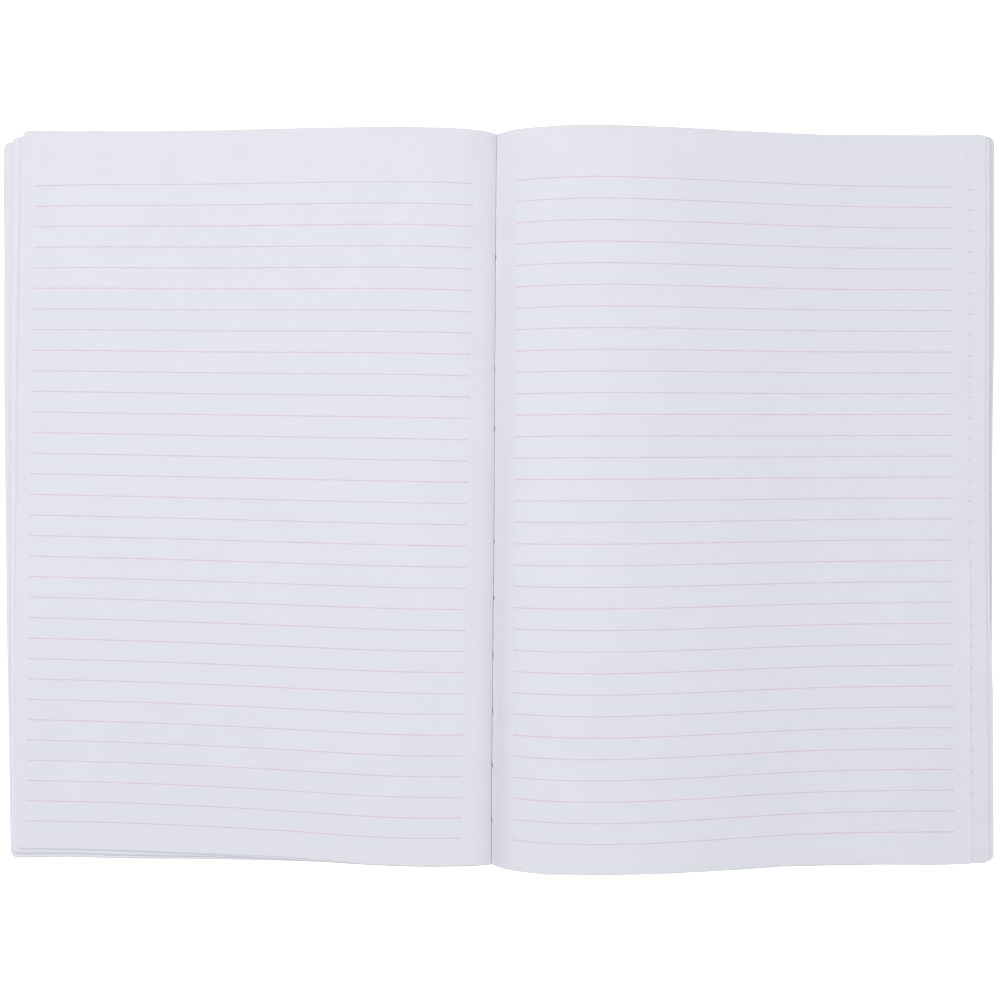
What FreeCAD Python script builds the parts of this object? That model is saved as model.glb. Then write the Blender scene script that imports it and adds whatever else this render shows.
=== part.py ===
import FreeCAD, Part
import Sketcher
import os
from FreeCAD import Vector, Placement, Rotation

# Open softcover notebook lying on its covers, millimetres.
# +X to the right page, +Y to the head of the pages, +Z up.
# Origin: under the middle of the spine, on the surface the notebook lies on.

os.makedirs("parts", exist_ok=True)
doc = FreeCAD.newDocument("notebook")

# ---------------------------------------------------------------- dimensions
sheet = doc.addObject("Spreadsheet::Sheet", "dims")
rows = [
    ("leafwidth", 139.7),       # cut leaf, spine edge to fore-edge
    ("leafheight", 209.55),     # cut leaf, head to foot
    ("spinewidth", 10.2),       # closed thickness between the two score lines
    ("cardthick", 0.35),        # cover card
    ("scoregap", 0.06),         # slack at each score line
    ("gluethick", 0.4),         # glue film on the spine
    ("glueshort", 1.5),         # the film stops this far from head and foot
    ("corner", 3.175),          # rounded outer corners
    ("pilegap", 0.12),          # air between a cover panel and the pile
    ("pileedge", 144.5),        # fore-edge of the lowest leaf from the spine centre
    ("pileupper", 141.9),       # fore-edge of the leaves just under the open ones
    ("piletop", 5.2),           # height of that upper fore-edge above the table
    ("notchcount", 12),
    ("notchpitch", 16.23),
    ("notchlong", 1.5),
    ("notchwide", 0.6),
    ("notchfirst", 87.3),       # first notch, measured from mid height towards the head
]
for i, (name, value) in enumerate(rows, start=1):
    sheet.set("A%d" % i, name)
    sheet.set("B%d" % i, str(value))
    sheet.setAlias("B%d" % i, name)
doc.recompute()
D = {name: float(sheet.get(name)) for name, value in rows}


def plane(body, role):
    for feature in body.Origin.OriginFeatures:
        if feature.Role == role:
            return feature
    raise RuntimeError("no plane " + role)


# ---------------------------------------------------------------- cover card
# Each panel is a flat rectangle of card with its two outer corners rounded.
# It is drawn from its score line outwards, so its own frame sits on the hinge.
def cover_panel(name, side):
    body = doc.addObject("PartDesign::Body", name)
    body.Label = name
    sk = body.newObject("Sketcher::SketchObject", name + "_outline")
    sk.AttachmentSupport = [(plane(body, "XY_Plane"), "")]
    sk.MapMode = "FlatFace"
    w, hh = D["leafwidth"] - D["scoregap"], D["leafheight"] / 2
    x0, x1 = side * D["scoregap"], side * (D["scoregap"] + w)
    pts = [Vector(x0, -hh, 0), Vector(x1, -hh, 0), Vector(x1, hh, 0), Vector(x0, hh, 0)]
    for a in range(4):
        sk.addGeometry(Part.LineSegment(pts[a], pts[(a + 1) % 4]), False)
    for a in range(4):
        sk.addConstraint(Sketcher.Constraint("Coincident", a, 2, (a + 1) % 4, 1))
    for a in (0, 2):
        sk.addConstraint(Sketcher.Constraint("Horizontal", a))
    sk.addConstraint(Sketcher.Constraint("Vertical", 1))
    sk.addConstraint(Sketcher.Constraint("Symmetric", 0, 1, 3, 1, -1))
    c1 = sk.addConstraint(Sketcher.Constraint("DistanceX", *((0, 1, 0, 2) if side > 0 else (0, 2, 0, 1)), w))
    sk.setExpression("Constraints[%d]" % c1, "dims.leafwidth - dims.scoregap")
    c2 = sk.addConstraint(Sketcher.Constraint("DistanceY", 1, 1, 1, 2, 2 * hh))
    sk.setExpression("Constraints[%d]" % c2, "dims.leafheight")
    c3 = sk.addConstraint(Sketcher.Constraint("DistanceX", *((-1, 1, 0, 1) if side > 0 else (0, 1, -1, 1)), D["scoregap"]))
    sk.setExpression("Constraints[%d]" % c3, "dims.scoregap")
    doc.recompute()
    pad = body.newObject("PartDesign::Pad", name + "_card")
    pad.Profile = sk
    pad.setExpression("Length", "dims.cardthick")
    doc.recompute()
    # the two upright edges at the fore-edge
    edges = []
    for n, e in enumerate(pad.Shape.Edges, start=1):
        c = e.CenterOfMass
        if abs(abs(c.x) - abs(x1)) < 0.01 and abs(abs(c.y) - hh) < 0.01:
            edges.append("Edge%d" % n)
    fil = body.newObject("PartDesign::Fillet", name + "_corners")
    fil.Base = (pad, edges)
    fil.setExpression("Radius", "dims.corner")
    body.Tip = fil
    body.setExpression("Placement.Base.x", ("" if side > 0 else "-") + "dims.spinewidth / 2")
    doc.recompute()
    if len(edges) != 2:
        raise RuntimeError(name + ": corner edges %d" % len(edges))
    return body


front_cover = cover_panel("front_cover", -1)
back_cover = cover_panel("back_cover", 1)

# ------------------------------------------- spine strip of the cover, glue
cover_spine = doc.addObject("Part::Box", "cover_spine")
cover_spine.Label = "cover_spine"
cover_spine.setExpression("Length", "dims.spinewidth")
cover_spine.setExpression("Width", "dims.leafheight")
cover_spine.setExpression("Height", "dims.cardthick")
cover_spine.setExpression("Placement.Base.x", "-dims.spinewidth / 2")
cover_spine.setExpression("Placement.Base.y", "-dims.leafheight / 2")

spine_glue = doc.addObject("Part::Box", "spine_glue")
spine_glue.Label = "spine_glue"
spine_glue.setExpression("Length", "dims.spinewidth - 0.6")
spine_glue.setExpression("Width", "dims.leafheight - 2 * dims.glueshort")
spine_glue.setExpression("Height", "dims.gluethick")
spine_glue.setExpression("Placement.Base.x", "-(dims.spinewidth - 0.6) / 2")
spine_glue.setExpression("Placement.Base.y", "-dims.leafheight / 2 + dims.glueshort")
spine_glue.setExpression("Placement.Base.z", "dims.cardthick")

# ---------------------------------------------------------------- the leaves
# One solid between a head section and a foot section. Each section: flat
# underside with a step over the glued spine, leaning fore-edges, and two arched
# top curves that meet in the gutter. The halves are not alike: the left one
# sinks towards the foot, the right one stays up.
HEAD = {
    "gutter": (0.0, 12.0),
    "right": [(2.98, 13.85), (7.75, 16.35), (17.55, 18.4), (27.45, 19.05), (37.45, 18.4), (57.05, 15.1),
              (76.65, 11.3), (96.35, 7.9), (116.15, 5.8), (136.15, 5.35)],
    "left": [(-3.02, 13.0), (-9.55, 15.45), (-19.55, 16.3), (-29.45, 16.3), (-39.45, 15.7), (-59.35, 13.8),
             (-79.15, 11.5), (-99.05, 9.9), (-118.95, 8.5), (-138.65, 5.6)],
}
FOOT = {
    "gutter": (-1.55, 9.5),
    "right": [(1.45, 12.85), (7.15, 15.9), (16.85, 18.2), (26.75, 18.9), (36.75, 18.6), (56.55, 16.1),
              (76.15, 12.5), (95.95, 10.0), (115.85, 9.2), (135.75, 8.3)],
    "left": [(-4.55, 10.85), (-13.85, 12.6), (-23.75, 13.2), (-33.75, 12.9), (-43.65, 11.9), (-63.45, 9.1),
             (-83.25, 7.2), (-103.25, 5.9), (-123.15, 5.45), (-141.0, 5.7)],
}


def sketch_at(body, name, role, offset, geometry):
    sk = body.newObject("Sketcher::SketchObject", name)
    sk.AttachmentSupport = [(plane(body, role), "")]
    sk.MapMode = "FlatFace"
    sk.setExpression("AttachmentOffset.Base.z", offset)
    for g in geometry:
        sk.addGeometry(g, False)
    return sk


def v(p):
    return Vector(p[0], p[1], 0)


# the arched leaves, first wider and longer than the cut leaf: sections carried
# on in a straight line past head and foot, and flat past the fore-edge
REACH = D["leafheight"] / 2 + 6.0
t = (REACH - D["leafheight"] / 2) / D["leafheight"]


def carried(sec, other):
    on = lambda p, o: (p[0] + (p[0] - o[0]) * t, p[1] + (p[1] - o[1]) * t)
    return {"gutter": on(sec["gutter"], other["gutter"]),
            "right": [on(p, o) for p, o in zip(sec["right"], other["right"])],
            "left": [on(p, o) for p, o in zip(sec["left"], other["left"])]}


def section_wire(sec):
    half = D["spinewidth"] / 2 + 0.02
    low = D["cardthick"] + D["pilegap"]
    over = D["cardthick"] + D["gluethick"]
    wide, upper, top = 152.0, D["pileupper"], D["piletop"]
    geo = [Part.LineSegment(v(p), v(q)) for p, q in (
        ((-wide, low), (-half, low)), ((-half, low), (-half, over)), ((-half, over), (half, over)),
        ((half, over), (half, low)), ((half, low), (wide, low)), ((wide, low), (wide, top)),
        ((wide, top), (upper, top)), ((upper, top), sec["right"][-1]))]
    curve = Part.BSplineCurve()
    curve.interpolate([v(p) for p in reversed(sec["right"])] + [v(sec["gutter"])])
    geo.append(curve)
    curve = Part.BSplineCurve()
    curve.interpolate([v(sec["gutter"])] + [v(p) for p in sec["left"]])
    geo.append(curve)
    geo += [Part.LineSegment(v(p), v(q)) for p, q in (
        (sec["left"][-1], (-upper, top)), ((-upper, top), (-wide, top)), ((-wide, top), (-wide, low)))]
    return geo


arch = doc.addObject("PartDesign::Body", "arched_stock")
head_section = sketch_at(arch, "head_section", "XZ_Plane", "-(dims.leafheight / 2 + 6)", section_wire(carried(HEAD, FOOT)))
foot_section = sketch_at(arch, "foot_section", "XZ_Plane", "dims.leafheight / 2 + 6", section_wire(carried(FOOT, HEAD)))
doc.recompute()
loft = arch.newObject("PartDesign::AdditiveLoft", "arched_leaves")
loft.Profile = head_section
loft.Sections = [foot_section]
loft.Ruled = True
arch.Tip = loft
doc.recompute()

# the outline the pile is trimmed to: rounded outer corners, fore-edges leaning in
lean = (D["pileedge"] - D["pileupper"]) / (D["piletop"] - D["cardthick"] - D["pilegap"])


def outline(z):
    w = D["pileedge"] - lean * (z - D["cardthick"] - D["pilegap"])
    hh, r = D["leafheight"] / 2, D["corner"]
    k = r * (1 - 0.5 ** 0.5)
    run = [((w, -hh + r), (w, hh - r)), ((w, hh - r), (w - k, hh - k), (w - r, hh)),
           ((w - r, hh), (-w + r, hh)), ((-w + r, hh), (-w + k, hh - k), (-w, hh - r)),
           ((-w, hh - r), (-w, -hh + r)), ((-w, -hh + r), (-w + k, -hh + k), (-w + r, -hh)),
           ((-w + r, -hh), (w - r, -hh)), ((w - r, -hh), (w - k, -hh + k), (w, -hh + r))]
    return [Part.LineSegment(v(g[0]), v(g[1])) if len(g) == 2 else Part.Arc(*[v(p) for p in g]) for g in run]


trim = doc.addObject("PartDesign::Body", "trim_outline")
trim_low = sketch_at(trim, "trim_low", "XY_Plane", "-1", outline(-1.0))
trim_high = sketch_at(trim, "trim_high", "XY_Plane", "24", outline(24.0))
doc.recompute()
trim_loft = trim.newObject("PartDesign::AdditiveLoft", "trim_prism")
trim_loft.Profile = trim_low
trim_loft.Sections = [trim_high]
trim_loft.Ruled = True
trim.Tip = trim_loft
doc.recompute()

pile = doc.addObject("Part::Common", "trimmed_pile")
pile.Base = arch
pile.Tool = trim
doc.recompute()

# the notch slits, cut down into the gutter, which wanders a little to the left
# on its way to the foot
slits = []
for n in range(int(D["notchcount"])):
    slit = doc.addObject("Part::Box", "slit_%02d" % (n + 1))
    slit.setExpression("Length", "dims.notchwide")
    slit.setExpression("Width", "dims.notchlong")
    slit.Height = 8.0
    y = D["notchfirst"] - n * D["notchpitch"]
    share = 0.5 - y / D["leafheight"]
    gx = HEAD["gutter"][0] + (FOOT["gutter"][0] - HEAD["gutter"][0]) * share
    gz = HEAD["gutter"][1] + (FOOT["gutter"][1] - HEAD["gutter"][1]) * share
    slit.setExpression("Placement.Base.x", "%.3f - dims.notchwide / 2" % gx)
    slit.setExpression("Placement.Base.y", "dims.notchfirst - %d * dims.notchpitch - dims.notchlong / 2" % n)
    slit.Placement.Base.z = gz - 2.2
    slits.append(slit)
comb = doc.addObject("Part::Compound", "slit_tools")
comb.Links = slits
block = doc.addObject("Part::Cut", "page_block")
block.Label = "page_block"
block.Base = pile
block.Tool = comb
doc.recompute()
print("stock %.1f trimmed %.1f slit %.1f" % (arch.Shape.Volume, pile.Shape.Volume, block.Shape.Volume))
cuts = [pile.Shape.common(slit.Shape).Volume for slit in slits]
print("each slit takes", " ".join("%.2f" % c for c in cuts))
if not all(0.8 < c < 5.0 for c in cuts):
    raise RuntimeError("a slit misses the gutter")

# ---------------------------------------------------------------- check, write
doc.recompute()
for obj in doc.Objects:
    bad = [s for s in obj.State if s in ("Invalid", "Error")]
    if bad:
        raise RuntimeError("%s: %s" % (obj.Name, bad))
nodes = [block, spine_glue, cover_spine, front_cover, back_cover]
for obj in nodes:
    if obj.Shape.isNull() or not obj.Shape.isValid():
        raise RuntimeError(obj.Label + ": bad shape")
    if len(obj.Shape.Solids) != 1:
        raise RuntimeError(obj.Label + ": %d solids" % len(obj.Shape.Solids))
for obj in nodes:
    b = obj.Shape.BoundBox
    print("%-12s volume %.1f  x %.2f..%.2f  y %.2f..%.2f  z %.2f..%.2f" % (
        obj.Label, obj.Shape.Volume, b.XMin, b.XMax, b.YMin, b.YMax, b.ZMin, b.ZMax))
    obj.Shape.exportStep("parts/%s.step" % obj.Label)
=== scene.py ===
import math

import bpy
import numpy as np
from mathutils import Euler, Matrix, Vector


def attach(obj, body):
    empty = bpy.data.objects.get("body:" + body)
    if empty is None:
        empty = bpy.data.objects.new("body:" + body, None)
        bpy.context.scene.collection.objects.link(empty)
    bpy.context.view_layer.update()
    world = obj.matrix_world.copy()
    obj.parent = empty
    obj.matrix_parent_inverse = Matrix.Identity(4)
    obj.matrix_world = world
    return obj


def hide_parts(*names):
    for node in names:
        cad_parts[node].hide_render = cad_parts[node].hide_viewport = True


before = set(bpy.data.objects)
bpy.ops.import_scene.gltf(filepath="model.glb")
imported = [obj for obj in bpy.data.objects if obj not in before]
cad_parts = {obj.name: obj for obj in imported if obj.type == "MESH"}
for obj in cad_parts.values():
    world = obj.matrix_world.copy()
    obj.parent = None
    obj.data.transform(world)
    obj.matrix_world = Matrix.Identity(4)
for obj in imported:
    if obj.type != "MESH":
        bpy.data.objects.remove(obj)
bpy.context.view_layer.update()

# Open ruled notebook: every leaf is a thin closed sheet. All numbers are millimetres in the
# object's own frame until a mesh is written, which is in metres.
MM = 0.001
SHEET = 209.55            # height of a leaf
RULES, PITCH = 32, 6.0    # ruled lines on a page
LEAVES = 49               # leaves on each side of the gutter
rng = np.random.default_rng(20)


# ---------------------------------------------------------------- curves of the open leaves
def spline(xk, yk, x):
    """Cubic through the knots, not-a-knot ends; yk may have several columns."""
    xk, yk = np.asarray(xk, float), np.asarray(yk, float)
    n, h = len(xk), np.diff(xk)
    a, r = np.zeros((n, n)), np.zeros((n,) + yk.shape[1:])
    for i in range(1, n - 1):
        a[i, i - 1], a[i, i], a[i, i + 1] = h[i - 1], 2 * (h[i - 1] + h[i]), h[i]
        r[i] = 6 * ((yk[i + 1] - yk[i]) / h[i] - (yk[i] - yk[i - 1]) / h[i - 1])
    a[0, :3] = h[1], -(h[0] + h[1]), h[0]
    a[-1, -3:] = h[-1], -(h[-2] + h[-1]), h[-2]
    m = np.linalg.solve(a, r)
    k = np.clip(np.searchsorted(xk, x) - 1, 0, n - 2)
    hk, p, q = h[k], xk[k + 1] - x, x - xk[k]
    if yk.ndim > 1:
        hk, p, q = hk[:, None], p[:, None], q[:, None]
    return (m[k] * p**3 + m[k + 1] * q**3) / (6 * hk) + (yk[k] / hk - m[k] * hk / 6) * p + (yk[k + 1] / hk - m[k + 1] * hk / 6) * q


# Slope of each open leaf in degrees at 8 stations from the gutter to the fore-edge, at its
# head and at its foot; then where it starts, and how far it is turned on the page below.
OPEN = {
    -1: dict(
        head=(13.861, 2.035, -4.679, -5.995, -6.229, -3.277, -5.959, -10.297),
        foot=(8.623, 1.009, -7.700, -6.866, -4.551, -2.899, 0.217, 1.775),
        x0=(-1.899, -1.824), z0=(13.683, 11.294), y0=0.010, turn=-1.1599,
        shift=(-0.0448, -0.3240, 0.0905, 0.6386, 0.1371, 0.0397, -0.1853, 0.0463, -0.0620, -0.1507),
    ),
    1: dict(
        head=(17.777, 8.273, -7.145, -10.474, -11.077, -8.137, -3.810, 0.873),
        foot=(34.133, 8.134, -3.883, -9.854, -9.888, -4.222, -1.335, -4.986),
        x0=(-1.002, -2.609), z0=(13.402, 11.541), y0=-0.081, turn=0.4229,
        shift=(-0.0016, -0.2954, -0.0752, 0.5741, 0.1611, 0.0696, -0.0611, 0.0798, -0.0748, -0.2719),
    ),
}
# How much longer (+) or shorter (-) the leaf is at its head and foot, by distance from the spine.
TRIM = {
    -1: dict(
        head=((0, 0), (60, 0.08), (80, 0.03), (93, -0.10), (105, -0.08), (113, 0.17), (125, 0.40), (137, 0.93)),
        foot=((0, 0.5), (1.6, 0.5), (2.6, 0.4), (3.8, 0.1), (5.2, -0.2), (7, -0.32), (20, -0.32), (40, -0.36), (55, -0.62), (63, -0.64), (75, -0.46), (85, -0.3), (95, -0.1), (140, -0.1)),
    ),
    1: dict(
        head=((0, 0), (20, 0), (30, -0.17), (36, -0.30), (47, -0.04), (58, -0.34), (70, -0.52), (82, -0.40), (94, -0.40), (104, -0.05), (116, 0.0), (136, 0.0)),
        foot=((0, -0.3), (3, -0.45), (7, -0.42), (14, -0.36), (20, -0.70), (36, -0.66), (47, -0.56), (58, -0.34), (70, -0.18), (82, -0.2), (94, 0.0), (105, 0.1), (116, 0.28), (127, 0.45), (136, 0.2)),
    ),
}
# The gutter seen from above: y, x.
GUTTER_Y = (-110.0, -104.8, -86.2, -57.1, -28.3, 0.5, 29.1, 57.6, 77.5, 91.6, 104.6, 110.0)
GUTTER_X = (-1.56, -1.55, -1.58, -1.34, -1.04, -0.80, -0.70, -0.48, -0.40, -0.26, -0.02, 0.02)


def gutter_x(y):
    return np.interp(y, GUTTER_Y, GUTTER_X)


class OpenLeaf:
    """The surface of an open leaf as a table over (v from the head edge, u from the gutter)."""

    def __init__(self, side):
        o, self.side = OPEN[side], side
        self.u0, self.du = -8.0, 0.1
        self.v0, self.dv = -3.0, 3.0
        us = np.arange(self.u0, 146.0, self.du)
        vs = np.arange(self.v0, SHEET + 3.1, self.dv)
        knots = np.linspace(0, 139.7, 8)
        uc = np.clip(us, 0, 139.7)
        ph, pf = (np.radians(spline(knots, o[w], uc)) for w in ("head", "foot"))
        t = (vs / SHEET)[:, None]
        phi = ph[None] * (1 - t) + pf[None] * t
        c, s = np.cos(phi), np.sin(phi)
        zero = int(round(-self.u0 / self.du))
        X = np.concatenate([np.zeros((len(vs), 1)), np.cumsum((c[:, 1:] + c[:, :-1]) * 0.5 * self.du, 1)], 1)
        Z = np.concatenate([np.zeros((len(vs), 1)), np.cumsum((s[:, 1:] + s[:, :-1]) * 0.5 * self.du, 1)], 1)
        X, Z = X - X[:, zero:zero + 1], Z - Z[:, zero:zero + 1]
        x, y = side * X, (SHEET / 2 - vs)[:, None] + 0 * X
        th = math.radians(o["turn"])
        self.x = x * math.cos(th) - y * math.sin(th) + o["x0"][0] * (1 - t) + o["x0"][1] * t
        self.y = x * math.sin(th) + y * math.cos(th) + o["y0"]
        self.z = Z + o["z0"][0] * (1 - t) + o["z0"][1] * t
        tv = np.clip(2 * t - 1, -0.93, 0.93)
        su = np.clip(us / 69.85 - 1, -0.95, 1.0)[None]
        k = o["shift"]
        self.y = self.y + k[0] + k[1] * tv + k[2] * tv**2 + k[3] * tv**3 + su * (k[4] + k[5] * tv + k[6] * tv**2) + su**2 * (k[7] + k[8] * tv) + k[9] * su**3
        # the valley beside the gutter
        d = np.abs(self.x - gutter_x(self.y)) * np.where((self.x - gutter_x(self.y)) * side < 0, 0, 1)
        depth = (2.0 if side < 0 else 2.5) * (1 - t) + (1.1 if side < 0 else 2.3) * t
        wide = (11.0 if side < 0 else 8.0) * (1 - t) + (7.0 if side < 0 else 6.0) * t
        self.z = self.z - depth * np.clip(1 - d / wide, 0, 1) ** 1.8
        if side < 0:
            self.z = self.z - (1.10 + 0.90 * t) * np.clip(1 - d / (2.6 + 2.4 * t), 0, 1) ** 2
        # the trimmed head and foot edges are not quite straight
        for rows, sign, tab in ((vs, 1, TRIM[side]["head"]), (SHEET - vs, -1, TRIM[side]["foot"])):
            w = np.clip(1 - np.maximum(rows, 0) / 12.0, 0, 1)[:, None] ** 1.5
            self.y = self.y + sign * w * np.interp(side * self.x, *zip(*tab))
        self.us, self.vs = us, vs

    def at(self, u, v):
        u, v = np.broadcast_arrays(np.asarray(u, float), np.asarray(v, float))
        a = np.clip((u - self.u0) / self.du, 0, self.x.shape[1] - 1.001)
        b = np.clip((v - self.v0) / self.dv, 0, self.x.shape[0] - 1.001)
        i, j = a.astype(int), b.astype(int)
        a, b = a - i, b - j
        return [
            (g[j, i] * (1 - a) + g[j, i + 1] * a) * (1 - b) + (g[j + 1, i] * (1 - a) + g[j + 1, i + 1] * a) * b
            for g in (self.x, self.y, self.z)
        ]

    def row(self, v):
        return self.at(self.us, np.full(len(self.us), v))

    def u_where(self, v, x_of_y):
        """u on row v where x reaches x_of_y(y)."""
        x, y, _ = self.row(v)
        f = self.side * (x - x_of_y(y))
        return float(np.interp(0.0, f, self.us))


OPEN_LEAF = {s: OpenLeaf(s) for s in (-1, 1)}


# ---------------------------------------------------------------- how far each leaf reaches
def table(*pairs):
    y, x = zip(*sorted(pairs))
    return lambda q: np.interp(q, y, x)


EDGE = {
    (-1, "open"): table((-104, -142.15), (-102, -142.13), (-88, -141.98), (-73, -141.74), (-58, -141.56), (-43, -141.47), (-29, -141.26), (-17, -141.16),
                        (0.4, -140.80), (24, -140.42), (47, -139.98), (73.5, -139.34), (97, -138.87), (103, -138.70), (108, -138.60)),
    (-1, "mid"): table((-104, -143.2), (-88, -143.41), (-58, -143.47), (-29, -143.49), (-17, -143.45), (0.4, -143.34), (24, -143.21), (47.5, -143.06),
                       (74, -142.63), (97, -142.43), (103, -142.32), (107, -142.3)),
    (-1, "low"): table((-105, -143.85), (-88, -144.15), (-73, -144.25), (-58.6, -144.45), (-44, -144.70), (-29, -144.85), (-17, -144.90), (0.4, -145.12),
                       (24, -145.33), (47.5, -145.38), (74, -145.18), (88, -145.38), (100, -145.25), (105, -145.25)),
    (1, "open"): table((-104, 136.43), (-100, 136.41), (-86, 136.25), (-57, 136.08), (-43, 136.12), (-28, 136.10), (-17, 136.08), (0.5, 135.95),
                       (23.5, 135.85), (72.6, 135.80), (106, 135.75)),
    (1, "second"): table((-104, 141.9), (-100, 141.88), (-72, 141.66), (-57, 141.53), (-43, 141.33), (-28, 141.14), (-17, 141.04), (0.5, 140.97),
                         (23.5, 140.85), (47, 141.09), (73, 141.19), (107, 141.13)),
    (1, "mid"): table((-104, 144.0), (-57, 143.85), (-43, 143.30), (-28, 142.98), (-17, 142.88), (0.5, 142.73), (23.7, 142.61), (47, 142.83), (73, 142.89), (107, 142.88)),
    (1, "low"): table((-104, 144.1), (-57, 144.1), (-43, 143.98), (-28, 144.1), (-17, 144.15), (0.5, 144.10), (23.7, 144.25), (47, 144.68), (73, 144.58), (107, 144.45)),
}
# Leaf number; how far its fore-edge has gone from one step to the next; and how its head and foot
# edges run away from the spine: y = +-half + slope * |x|. Leaves in between are interpolated.
FAN = {
    -1: ((0, "low", "low", 0.0, 0.0063, 0.0000), (33, "low", "low", 0.0, 0.0063, 0.0000), (34, "mid", "low", 0.34, 0.0100, 0.0062),
         (35, "mid", "low", 0.15, 0.0150, 0.0100), (36, "mid", "mid", 0.0, 0.0170, 0.0106), (37, "open", "mid", 0.42, 0.0182, 0.0190),
         (42, "open", "mid", 0.06, 0.0198, 0.0200), (43, "open", "mid", 0.0, 0.0200, 0.0203), (48, "open", "mid", 0.0, 0.0203, 0.0203)),
    1: ((0, "low", "low", 0.0, 0.0098, 0.0050), (25, "low", "low", 0.0, 0.0099, 0.0051), (34, "mid", "low", 0.08, 0.0101, 0.0053),
        (35, "mid", "low", 0.0, 0.0102, 0.0054), (36, "second", "mid", 0.0, 0.0102, 0.0054), (41, "second", "mid", 0.0, 0.0104, 0.0056),
        (42, "second", "mid", 0.0, 0.0105, 0.0057), (46, "second", "mid", 0.0, 0.0105, 0.0057), (47, "second", "mid", 0.0, 0.0105, 0.0115)),
}
# The head edges of the right stack do not run straight, and no foot edge does: distance from the spine, factor or shift.
HEAD_BEND = {
    -1: ((0, 1.0), (140, 1.0)),
    1: ((0, 1.0), (12, 0.8), (36, 0.14), (58, 0.48), (70, 0.43), (81, 0.61), (92, 0.53), (100, 0.93), (104, 1.0), (140, 1.0)),
}
FOOT_IN = {
    -1: ((0, 0.0), (3, 0.20), (10, 0.33), (40, 0.30), (50, 0.15), (60, 0.20), (75, 0.0), (85, 0.0), (95, -0.30), (108, -0.22), (116, -0.43), (121, -0.20), (128, 0.0), (137, -0.22)),
    1: ((0, 0.25), (3, 0.30), (8, 0.42), (14, 0.36), (20, 0.50), (30, 0.62), (40, 0.58), (47, 0.38), (58, 0.35), (70, 0.18), (81, 0.30), (92, 0.05), (104, 0.0), (118, 0.0), (128, -0.22), (136, 0.0), (140, 0.0)),
}
CORNER = {(-1, "open"): 1.7, (-1, "mid"): 1.7, (-1, "low"): 2.0, (1, "open"): 0.9, (1, "second"): 1.7, (1, "mid"): 1.8, (1, "low"): 1.8}


def group_of(side, k):
    """Which step of the fore-edge leaf k belongs to, counted from the cover."""
    if k == LEAVES - 1:
        return "open"
    if side < 0:
        return "open" if k >= 43 else "mid" if k >= 35 else "low"
    return "second" if k >= 42 else "mid" if k >= 35 else "low"


def leaf_edge(side, k):
    """Fore-edge of leaf k as a function of y, with the slopes of its head and foot edges."""
    keys = FAN[side]
    n = max(i for i, q in enumerate(keys) if q[0] <= k)
    lo, hi = keys[n], keys[min(n + 1, len(keys) - 1)]
    f = 0.0 if hi[0] == lo[0] else (k - lo[0]) / (hi[0] - lo[0])

    def where(y):
        w = [(1 - q[3]) * abs(float(EDGE[(side, q[1])](y))) + q[3] * abs(float(EDGE[(side, q[2])](y))) for q in (lo, hi)]
        return w[0] * (1 - f) + w[1] * f

    return where, lo[4] * (1 - f) + hi[4] * f, lo[5] * (1 - f) + hi[5] * f


# ---------------------------------------------------------------- mesh from a grid of points
def grid_faces(nr, nc, side, base):
    """Vertices: nr x nc on the upper face, then the same on the lower face. Returns quads and, for each,
    0 upper, 1 lower, 2 rim, with the row and column it starts at."""
    i, j = np.meshgrid(np.arange(nr - 1), np.arange(nc - 1), indexing="ij")
    i, j = i.ravel(), j.ravel()
    a, b, c, d = i * nc + j, (i + 1) * nc + j, (i + 1) * nc + j + 1, i * nc + j + 1
    up = np.stack([a, b, c, d], 1) if side > 0 else np.stack([a, d, c, b], 1)
    n = nr * nc
    down = up[:, ::-1] + n
    loop = [(r, 0) for r in range(nr)] + [(nr - 1, q) for q in range(1, nc)] + [(r, nc - 1) for r in range(nr - 2, -1, -1)] + [(0, q) for q in range(nc - 2, 0, -1)]
    L = np.array([r * nc + q for r, q in loop])
    p, q = L, np.roll(L, -1)
    if side < 0:
        p, q = q, p
    rim = np.stack([q, p, p + n, q + n], 1)
    faces = np.concatenate([up, down, rim]) + base
    kind = np.concatenate([np.zeros(len(up)), np.ones(len(down)), np.full(len(rim), 2)]).astype(int)
    ii = np.concatenate([i, i, np.zeros(len(rim), int)])
    jj = np.concatenate([j, j, np.zeros(len(rim), int)])
    return faces, kind, ii, jj


def thicken(P, side, thick):
    dr, dc = np.gradient(P, axis=0), np.gradient(P, axis=1)
    n = side * np.cross(dr, dc)
    n /= np.maximum(np.linalg.norm(n, axis=2, keepdims=True), 1e-9)
    return np.concatenate([(P + n * thick / 2).reshape(-1, 3), (P - n * thick / 2).reshape(-1, 3)])


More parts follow.
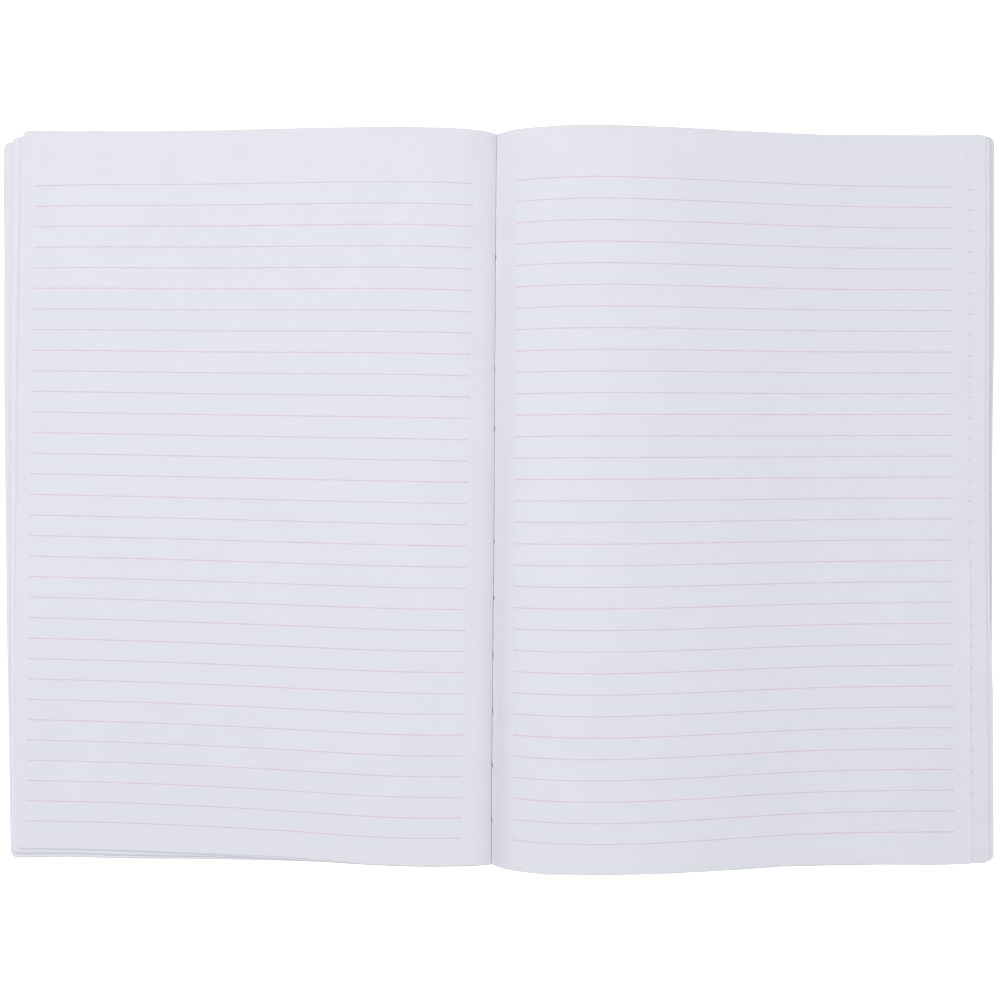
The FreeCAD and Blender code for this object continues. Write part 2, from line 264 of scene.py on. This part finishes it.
def build(name, sheets, mats, body, replaces=()):
    """One mesh from several sheets: (grid, side, thickness, function giving a face's material)."""
    verts, faces, mat, flat, base = [], [], [], [], 0
    for P, side, thick, which in sheets:
        v = thicken(P, side, thick)
        f, kind, i, j = grid_faces(P.shape[0], P.shape[1], side, base)
        verts.append(v)
        faces.append(f)
        mat.append(which(kind, i, j) if which else np.zeros(len(f), int))
        flat.append(kind == 2)
        base += len(v)
    verts, faces, mat, flat = (np.concatenate(q) for q in (verts, faces, mat, flat))
    me = bpy.data.meshes.new(name)
    me.vertices.add(len(verts))
    me.vertices.foreach_set("co", (verts * MM).astype(np.float32).ravel())
    me.loops.add(len(faces) * 4)
    me.loops.foreach_set("vertex_index", faces.astype(np.int32).ravel())
    me.polygons.add(len(faces))
    me.polygons.foreach_set("loop_start", np.arange(0, len(faces) * 4, 4, dtype=np.int32))
    me.polygons.foreach_set("loop_total", np.full(len(faces), 4, np.int32))
    me.polygons.foreach_set("material_index", mat.astype(np.int32))
    me.polygons.foreach_set("use_smooth", ~flat)
    me.update(calc_edges=True)
    me.validate()
    for m in mats:
        me.materials.append(m)
    ob = bpy.data.objects.new(name, me)
    bpy.context.scene.collection.objects.link(ob)
    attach(ob, body)
    if replaces:
        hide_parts(*replaces)
    return ob


# ---------------------------------------------------------------- materials
def noise(nt, coord, scale, detail=3.0, rough=0.55, stretch=None):
    n = nt.nodes.new("ShaderNodeTexNoise")
    n.inputs["Scale"].default_value = scale
    n.inputs["Detail"].default_value = detail
    n.inputs["Roughness"].default_value = rough
    if stretch:
        m = nt.nodes.new("ShaderNodeMapping")
        m.inputs["Scale"].default_value = stretch
        nt.links.new(coord, m.inputs["Vector"])
        coord = m.outputs["Vector"]
    nt.links.new(coord, n.inputs["Vector"])
    return n.outputs["Fac"]


def ramp(nt, fac, stops):
    r = nt.nodes.new("ShaderNodeValToRGB")
    e = r.color_ramp.elements
    while len(e) > len(stops):
        e.remove(e[-1])
    while len(e) < len(stops):
        e.new(0.5)
    for q, (pos, col) in zip(e, stops):
        q.position, q.color = pos, (*col, 1)
    nt.links.new(fac, r.inputs["Fac"])
    return r.outputs["Color"]


def mix(nt, fac, a, b, mode="MIX"):
    m = nt.nodes.new("ShaderNodeMix")
    m.data_type, m.blend_type = "RGBA", mode
    if isinstance(fac, float):
        m.inputs[0].default_value = fac
    else:
        nt.links.new(fac, m.inputs[0])
    for s, c in ((6, a), (7, b)):
        if isinstance(c, tuple):
            m.inputs[s].default_value = (*c, 1)
        else:
            nt.links.new(c, m.inputs[s])
    return m.outputs[2]


def rough_range(nt, fac, low, high):
    r = nt.nodes.new("ShaderNodeMapRange")
    r.inputs["From Min"].default_value, r.inputs["From Max"].default_value = 0.3, 0.7
    r.inputs["To Min"].default_value, r.inputs["To Max"].default_value = low, high
    nt.links.new(fac, r.inputs["Value"])
    return r.outputs["Result"]


def new_material(name):
    m = bpy.data.materials.new(name)
    m.use_nodes = True
    nt = m.node_tree
    b = next(n for n in nt.nodes if n.type == "BSDF_PRINCIPLED")
    tc = nt.nodes.new("ShaderNodeTexCoord")
    return m, nt, b, tc.outputs["Object"]


def bump(nt, b, height, dist, strength=1.0):
    n = nt.nodes.new("ShaderNodeBump")
    n.inputs["Distance"].default_value = dist
    n.inputs["Strength"].default_value = strength
    nt.links.new(height, n.inputs["Height"])
    nt.links.new(n.outputs["Normal"], b.inputs["Normal"])


def paper_like(name, low, high, roughness=(0.72, 0.86), specular=0.28):
    """Uncoated writing paper: cloudy formation, short fibres, a very fine tooth."""
    m, nt, b, co = new_material(name)
    cloud = noise(nt, co, 70.0, 4.0, 0.6)
    fibre = noise(nt, co, 1500.0, 2.0, 0.6, (1.0, 2.2, 1.0))
    tooth = noise(nt, co, 5200.0, 2.0, 0.5)
    base = ramp(nt, cloud, [(0.30, low), (0.70, high)])
    grain = ramp(nt, fibre, [(0.32, (0.986, 0.986, 0.989)), (0.60, (1.0, 1.0, 1.0))])
    nt.links.new(mix(nt, 1.0, base, grain, "MULTIPLY"), b.inputs["Base Color"])
    nt.links.new(rough_range(nt, fibre, *roughness), b.inputs["Roughness"])
    b.inputs["Specular IOR Level"].default_value = specular
    both = nt.nodes.new("ShaderNodeMath")
    both.operation = "MULTIPLY_ADD"
    both.inputs[1].default_value = 0.45
    nt.links.new(tooth, both.inputs[0])
    nt.links.new(fibre, both.inputs[2])
    bump(nt, b, both.outputs[0], 0.000010, 0.5)
    return m


PAPER = paper_like("writing_paper", (0.777, 0.777, 0.842), (0.789, 0.789, 0.854))
INNER = paper_like("leaf_stack_paper", (0.777, 0.777, 0.842), (0.789, 0.789, 0.854))


def ink_material():
    m, nt, b, co = new_material("rule_ink")
    patch = noise(nt, co, 2600.0, 3.0, 0.7)
    slow = noise(nt, co, 160.0, 2.0, 0.5)
    c = ramp(nt, patch, [(0.30, (0.733, 0.592, 0.721)), (0.72, (0.763, 0.659, 0.767))])
    c2 = ramp(nt, slow, [(0.35, (0.96, 0.94, 0.96)), (0.65, (1.0, 1.0, 1.0))])
    nt.links.new(mix(nt, 1.0, c, c2, "MULTIPLY"), b.inputs["Base Color"])
    nt.links.new(rough_range(nt, patch, 0.70, 0.82), b.inputs["Roughness"])
    b.inputs["Specular IOR Level"].default_value = 0.28
    bump(nt, b, patch, 0.000008, 0.4)
    return m


INK = ink_material()


def card_material():
    m, nt, b, co = new_material("cover_card")
    cloud = noise(nt, co, 45.0, 4.0, 0.6)
    fibre = noise(nt, co, 900.0, 3.0, 0.6, (1.0, 2.6, 1.0))
    base = ramp(nt, cloud, [(0.30, (0.560, 0.565, 0.625)), (0.72, (0.615, 0.620, 0.680))])
    grain = ramp(nt, fibre, [(0.30, (0.93, 0.93, 0.94)), (0.66, (1.0, 1.0, 1.0))])
    nt.links.new(mix(nt, 1.0, base, grain, "MULTIPLY"), b.inputs["Base Color"])
    nt.links.new(rough_range(nt, fibre, 0.52, 0.70), b.inputs["Roughness"])
    b.inputs["Specular IOR Level"].default_value = 0.35
    bump(nt, b, fibre, 0.00003, 0.5)
    return m


def glue_material():
    m, nt, b, co = new_material("hot_melt_glue")
    n = noise(nt, co, 320.0, 3.0, 0.5)
    nt.links.new(ramp(nt, n, [(0.3, (0.66, 0.62, 0.50)), (0.7, (0.76, 0.73, 0.62))]), b.inputs["Base Color"])
    nt.links.new(rough_range(nt, n, 0.30, 0.45), b.inputs["Roughness"])
    b.inputs["Subsurface Weight"].default_value = 0.15
    b.inputs["Subsurface Radius"].default_value = (0.002, 0.0018, 0.0012)
    bump(nt, b, n, 0.00012, 0.6)
    return m


CARD, GLUE = card_material(), glue_material()

# ---------------------------------------------------------------- the two open leaves
NOTCH = [  # y, opening, half length of each notch that shows in the gutter
    (85.4, 0.05, 0.50), (69.9, 0.12, 0.65), (52.7, 0.05, 0.60), (38.0, 0.07, 0.60), (21.1, 0.11, 0.70), (5.1, 0.06, 0.50),
    (-11.3, 0.10, 0.60), (-27.5, 0.13, 0.70), (-44.1, 0.12, 0.80), (-60.1, 0.14, 0.75), (-75.8, 0.14, 0.75), (-91.9, 0.13, 0.75),
]
RULE = {-1: (15.26, 6.507, 135.32), 1: (14.432, 7.625, 135.47)}   # first line, ends of the lines
RULE_HALF = 0.16


def notch_at(y):
    w = 0.0
    for yc, half, run in NOTCH:
        q = abs(y - yc) / run
        if q < 1:
            w = max(w, half * (1 - q**4))
    return w


def rows_for(v_first, ruled=True, notched=True):
    v = [0, 0.25, 0.6, 1.1, 1.8, 2.8, 4.5, 7.0, 10.0, 13.0]
    v += [SHEET - q for q in v]
    if ruled:
        for k in range(RULES):
            c = v_first + PITCH * k
            v += [c + 2.0, c + 4.0]
    if notched:
        for yc, _, run in NOTCH:
            c = SHEET / 2 - yc
            v += [c + run * q for q in (-1.25, -1.0, -0.9, -0.7, -0.3, 0.3, 0.7, 0.9, 1.0, 1.25)]
    ink = [v_first + PITCH * k + s * RULE_HALF for k in range(RULES) for s in (-1, 1)] if ruled else []
    out = list(ink)
    for q in v:
        if all(abs(q - w) > 0.07 for w in out):
            out.append(q)
    return np.array(sorted(out))


def corner_v(v, e, r):
    """Rows of a column that lies e inside the fore-edge, drawn in so that the corner is round."""
    if e >= r:
        return v
    c = r - math.sqrt(max(r * r - (r - e) ** 2, 0.0))
    return c + v * (SHEET - 2 * c) / SHEET


def bezier(p0, p1, p2, p3, n):
    t = np.linspace(0, 1, n)[:, None]
    return (1 - t) ** 3 * p0 + 3 * t * (1 - t) ** 2 * p1 + 3 * t**2 * (1 - t) * p2 + t**3 * p3


def open_leaf(side):
    L = OPEN_LEAF[side]
    v_first, u_in, u_out = RULE[side]
    v = rows_for(v_first)
    r = CORNER[(side, "open")]
    fixed = [u_in, u_in + 0.8, 9.5, 11.5, 14, 17, 20, 23, 26, 29, 32, 35, 39, 43, 47, 52, 57, 62, 67, 72, 77, 82, 87, 92, 97, 102, 107, 112, 117, 122, 127, 131, u_out]
    near = [0.08, 0.2, 0.36, 0.55, 0.78]
    ends = [2.7, 2.3] + [r * q for q in (1.0, 0.86, 0.70, 0.54, 0.40, 0.27, 0.16, 0.08, 0.025, 0.0)]
    edge = EDGE[(side, "open")]
    P = []
    for vi in v:
        y_here = SHEET / 2 - vi
        ue = L.u_where(vi, edge)
        shoulder = 0.50
        us = L.u_where(vi, lambda q: gutter_x(q) + side * shoulder)
        start, end = u_in, u_out
        if side > 0:   # the print runs a little askew on this leaf
            start = u_in - 0.5 * vi / SHEET
            end = u_out + float(np.interp(vi / SHEET, (0, 0.5, 0.75, 1), (-0.30, -0.58, -0.35, 0.05)))
        cols_u = [us] + [us + (start - us) * f for f in near] + [start] + fixed[1:-1] + [end]
        x, y, z = L.at(np.array(cols_u), np.full(len(cols_u), vi))
        surf = np.stack([x, y, z], 1)
        ex = []
        for e in ends:
            vv = corner_v(vi, e, r)
            uu = L.u_where(vv, edge) - e
            pt = np.array(L.at(uu, vv))
            if side > 0:
                pt[2] += 0.35 * min(max((-12.0 - pt[1]) / 14.0, 0), 1) * max(0.0, 1 - e / 4.0) ** 2
            ex.append(pt)
        # over the shoulder and straight down beside the other open leaf
        w = notch_at(surf[0, 1]) * (1.3 if side > 0 else 0.35)   # it opens on the right of the gutter
        gx, gy, zs = gutter_x(surf[0, 1]), surf[0, 1], surf[0, 2]
        t0 = surf[1] - surf[0]
        t0 = t0 / np.linalg.norm(t0)
        low = np.array([gx + side * (0.058 + w), gy, zs - 0.78 - 0.5 * w])
        b = bezier(surf[0], surf[0] - t0 * 0.30, low + np.array([0, 0, 0.42]), low, 6)[1:]
        down = [np.array([(gx + side * (0.058 + w)) * (1 - q) + side * 0.06 * q, gy, low[2] * (1 - q) + 0.82 * q]) for q in (0.12, 0.35, 0.7, 1.0)]
        P.append(np.concatenate([np.array(down[::-1]), b[::-1], surf, np.array(ex)]))
    P = np.array(P)
    # the columns where the printed lines end, and the rows that carry ink
    n_end = len(ends)
    inner = 4 + 5 + 1 + len(near)
    c0, c1 = inner, inner + len(fixed) - 1   # columns of the line ends
    on = np.zeros(len(v), bool)
    for k in range(RULES):
        on |= np.abs(v - (v_first + PITCH * k) + 1e-4) < RULE_HALF + 1e-3
        on &= np.abs(v - (v_first + PITCH * k + RULE_HALF)) > 1e-4
    assert on.sum() >= RULES

    def which(kind, i, j):
        return ((kind == 0) & on[np.clip(i, 0, len(v) - 1)] & (j >= c0) & (j < c1)).astype(int)

    return P, which


sheets = {}
for side, word in ((-1, "left"), (1, "right")):
    P, which = open_leaf(side)
    build(f"{word}_open_leaf", [(P, side, 0.09, which)], [PAPER, INK], "pages", ["page_block"])


# ---------------------------------------------------------------- the leaves under them
LEAF = 0.072        # thickness of a sheet in the stack; the rest of the pitch is air
V_STACK = np.array([0, 0.35, 0.8, 1.4, 2.2, 3.2, 6, 12, 22, 34, 48, 62, 76, 90, 104.775])
V_STACK = np.concatenate([V_STACK, (SHEET - V_STACK[::-1])[1:]])
S_STACK = np.array([0, 0.25, 0.5, 0.75, 0.9, 1.0])


def stack_curves(side, y):
    """Outline of the stack at height y on the page: the leaf on the cover, and the leaf under the open one."""
    L = OPEN_LEAF[side]
    vi = np.clip(SHEET / 2 - y, -2.5, SHEET + 2.5)
    x, _, z = L.row(vi)
    gx = float(gutter_x(y))
    d = side * (x - gx)
    xo = abs(float(EDGE[(side, "open")](y)))
    start = side * gx + 1.15
    ax = start + (xo - 0.3 - start) * np.linspace(0, 1, 150) ** 1.35
    az = np.interp(ax - side * gx, d, z) - 0.19
    slope = (az[-1] - az[-6]) / (ax[-1] - ax[-6])
    slope = min(slope, 0.01)
    ext = np.arange(2.0, 14.1, 2.0)
    # beyond the open leaf the stack runs on with the same fall
    ax2, az2 = ax[-1] + ext, az[-1] + slope * ext
    sx = side * gx
    p0 = np.array([ax[0], az[0]])
    m = (az[1] - az[0]) / (ax[1] - ax[0])
    p3 = np.array([sx + 0.62, az[0] - 0.95])
    sh = bezier(p0, p0 - 0.3 * np.array([1, m]), p3 + np.array([0, 0.5]), p3, 6)[1:][::-1]
    foot = np.array([0.42, 0.82])
    up = np.array([foot * (1 - q) + p3 * q for q in np.linspace(0, 1, 10)[:-1]])
    B = np.concatenate([up, sh, np.stack([ax, az], 1), np.stack([ax2, az2], 1)])
    A = np.array([[4.86, 0.82], [4.95, 0.72], [5.2, 0.58], [5.8, 0.535], [156.0, 0.535]])
    return A, B


def resample(C, n_total, length):
    """Points of polyline C at n_total even steps of arc length up to length."""
    s = np.concatenate([[0], np.cumsum(np.linalg.norm(np.diff(C, axis=0), axis=1))])
    q = np.linspace(0, length, n_total)
    return np.stack([np.interp(q, s, C[:, 0]), np.interp(q, s, C[:, 1])], 1)


FINE = 420
cache = {}


def family(side, y):
    """The two outlines at y, sampled alike, so that any leaf between them is a blend of the two."""
    key = (side, round(float(y), 3))
    if key not in cache:
        A, B = stack_curves(side, y)
        xb = 142.0
        sB = np.concatenate([[0], np.cumsum(np.linalg.norm(np.diff(B, axis=0), axis=1))])
        lenB = float(np.interp(xb, B[:, 0], sB)) if B[-1, 0] > xb else sB[-1]
        a = resample(A, FINE, 139.7 * 1.035)
        b = resample(B, FINE, lenB * 1.035)
        cache[key] = (a, b)
    return cache[key]


# uneven spacing: leaves cling together in small bunches
gap = 1.0 + 0.32 * rng.standard_normal((2, LEAVES - 1)).clip(-1, 1.6)
for q in range(3, LEAVES - 1, 7):
    gap[:, q] *= 1.35
LEVEL = {s: np.concatenate([[0], np.cumsum(gap[n])]) / gap[n].sum() for n, s in enumerate((-1, 1))}
MARKS = np.concatenate([np.linspace(0, 12.5, 8), np.array([15, 18, 21.5, 25, 29, 34, 40, 47, 55, 64, 74, 85, 97, 110, 123, 133])])


def stack_leaf(side, k, jitter, r, marks=MARKS, v=V_STACK, slant=0.0, longer=0.0):
    """Leaf k as a grid of points. slant leans the far columns; longer adds to the foot past the last line."""
    g = float(LEVEL[side][k])
    edge, up, dn = leaf_edge(side, k)
    ends = [r * q for q in (1.0, 0.72, 0.46, 0.24, 0.08, 0.0)]
    e_all = [None] * len(marks) + ends
    half = SHEET / 2
    P = np.zeros((len(v), len(e_all), 3))
    for i, vi in enumerate(v):
        rows = {}
        for j, e in enumerate(e_all):
            vv = vi if e is None else float(corner_v(vi, e, r))
            key = round(vv, 4)
            if key not in rows:
                y = half - vv
                a, b = family(side, np.clip(y, -half, half))
                c = a * (1 - g) + b * g
                s = np.concatenate([[0], np.cumsum(np.linalg.norm(np.diff(c, axis=0), axis=1))])
                t = vv / SHEET
                xe = edge(y) + jitter[0] + jitter[1] * (t - 0.5)
                se = float(np.interp(xe, c[:, 0], s))
                rows[key] = (y, c, s, se, t)
            y, c, s, se, t = rows[key]
            q = (marks[j] + slant * (0.5 - t) * (marks[j] > 100)) * se / 139.7 if e is None else se - e
            x = float(np.interp(q, s, c[:, 0]))
            z = float(np.interp(q, s, c[:, 1]))
            tilt = up * (1 - t) * float(np.interp(x, *zip(*HEAD_BEND[side]))) + dn * t
            far = longer * min(max((vv - 199) / 10, 0), 1) ** 2 * x / 140
            inward = float(np.interp(x, *zip(*FOOT_IN[side])))
            if side < 0 and k > 36:
                inward = max(inward, 0.08)   # hidden below the open leaf
            far -= inward * min(max((vv - 190) / 19.55, 0), 1) ** 1.5
            P[i, j] = side * x, y + tilt * max(x - 3, 0) + jitter[2] - far, z
    return P


def jit(side, k):
    a = rng.standard_normal(3)
    return (-0.07 * abs(a[0]), 0.10 * a[1], 0.06 * a[2])


for side, word in ((-1, "left"), (1, "right")):
    groups = {}
    for k in range(1, LEAVES - 1):
        grp = group_of(side, k)
        if side > 0 and k == LEAVES - 2:
            continue
        j = jit(side, k)
        if grp == "open":
            j = (j[0] - 0.08, j[1] * 0.5, min(j[2], 0) * 0.5)
        groups.setdefault(grp, []).append((stack_leaf(side, k, j, CORNER[(side, grp)]), side, LEAF, None))
    names = {"low": "lower", "mid": "middle", "open": "upper", "second": "upper"}
    for grp, sh in groups.items():
        build(f"{word}_leaves_{names[grp]}", sh, [INNER], "pages")

# the second leaf on the right: the ends of its lines show past the open leaf
first2 = 15.9
v2 = rows_for(first2, notched=False)
marks2 = np.concatenate([MARKS[:-2], [118.0, 126.0, 129.0, 133.0, 136.2]])
P2 = stack_leaf(1, LEAVES - 2, (0, 0, 0), CORNER[(1, "second")], marks2, v2, 1.15, 0.8)
on2 = np.zeros(len(v2), bool)
for k in range(RULES):
    on2 |= np.abs(v2 - (first2 + PITCH * k - RULE_HALF)) < 1e-4


def which2(kind, i, j):
    return ((kind == 0) & on2[np.clip(i, 0, len(v2) - 1)] & (j >= 9) & (j < len(marks2) - 1)).astype(int)


build("right_second_leaf", [(P2, 1, 0.085, which2)], [PAPER, INK], "pages")

# first and last leaf, on the covers: ruled on the side that faces the cover
for side, name in ((-1, "first_leaf"), (1, "last_leaf")):
    v1 = rows_for(15.0, notched=False)
    marks1 = np.concatenate([MARKS[:6], [7.0, 12.0, 20, 30, 40, 50, 60, 70, 80, 90, 100, 110, 120, 130, 135.3]])
    P1 = stack_leaf(side, 0, (0, 0, 0), CORNER[(side, "low")], marks1, v1)
    on1 = np.zeros(len(v1), bool)
    for k in range(RULES):
        on1 |= np.abs(v1 - (15.0 + PITCH * k - RULE_HALF)) < 1e-4

    def which1(kind, i, j, on1=on1, n1=len(marks1)):
        return ((kind == 1) & on1[np.clip(i, 0, len(on1) - 1)] & (j >= 6) & (j < n1 - 1)).astype(int)

    build(name, [(P1, side, LEAF, which1)], [PAPER, INK], "pages")

# ---------------------------------------------------------------- cover, spine strip, glue
for node, m in (("front_cover", CARD), ("back_cover", CARD), ("cover_spine", CARD), ("spine_glue", GLUE)):
    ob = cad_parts[node]
    ob.data.materials.clear()
    ob.data.materials.append(m)
    ob.material_slots[0].link = "OBJECT"
    ob.material_slots[0].material = m

# ---------------------------------------------------------------- floor, light, camera
bpy.ops.mesh.primitive_plane_add(size=6.0, location=(0, 0, -0.0001))
floor = bpy.context.object
floor.name = "floor"
fm = bpy.data.materials.new("pale_floor")
fm.use_nodes = True
fb = next(n for n in fm.node_tree.nodes if n.type == "BSDF_PRINCIPLED")
fb.inputs["Base Color"].default_value = (0.35, 0.35, 0.35, 1)
fb.inputs["Roughness"].default_value = 0.9
fb.inputs["Specular IOR Level"].default_value = 0.1
fb.inputs["Emission Color"].default_value = (1, 1, 1, 1)
fb.inputs["Emission Strength"].default_value = 0.90
floor.data.materials.append(fm)

world = bpy.data.worlds.new("studio")
bpy.context.scene.world = world
world.use_nodes = True
bg = next(n for n in world.node_tree.nodes if n.type == "BACKGROUND")
bg.inputs["Color"].default_value = (1.0, 1.0, 1.0, 1)
bg.inputs["Strength"].default_value = 0.185


def area(name, loc, aim, size, watts, col=(1, 1, 1)):
    d = bpy.data.lights.new(name, "AREA")
    d.shape, d.size, d.size_y, d.energy, d.color = "RECTANGLE", size[0], size[1], watts, col
    o = bpy.data.objects.new(name, d)
    bpy.context.scene.collection.objects.link(o)
    o.location = loc
    o.rotation_mode = "QUATERNION"
    o.rotation_quaternion = (Vector(aim) - Vector(loc)).to_track_quat("-Z", "Y")
    o.visible_camera = False
    return o


area("overhead_softbox", (0.16, 0.0, 2.0), (0, 0, 0), (1.0, 1.0), 19.8)
area("left_softbox", (-0.22, 0.22, 0.685), (0, 0, 0), (0.90, 0.90), 2.97)

cam = bpy.data.cameras.new("camera")
cam.lens, cam.sensor_width = 37.6457, 36.0
cam.shift_x, cam.shift_y = -0.0005, 0.0005
cam.clip_start, cam.clip_end = 0.01, 10.0
co = bpy.data.objects.new("camera", cam)
bpy.context.scene.collection.objects.link(co)
co.location = (0.004970, 0.003365, 0.310)
co.rotation_euler = Euler((-0.00955464, 0.01332179, 0.0), "XYZ")
bpy.context.scene.camera = co
bpy.context.scene.view_settings.view_transform = "Standard"
bpy.context.scene.view_settings.look = "None"
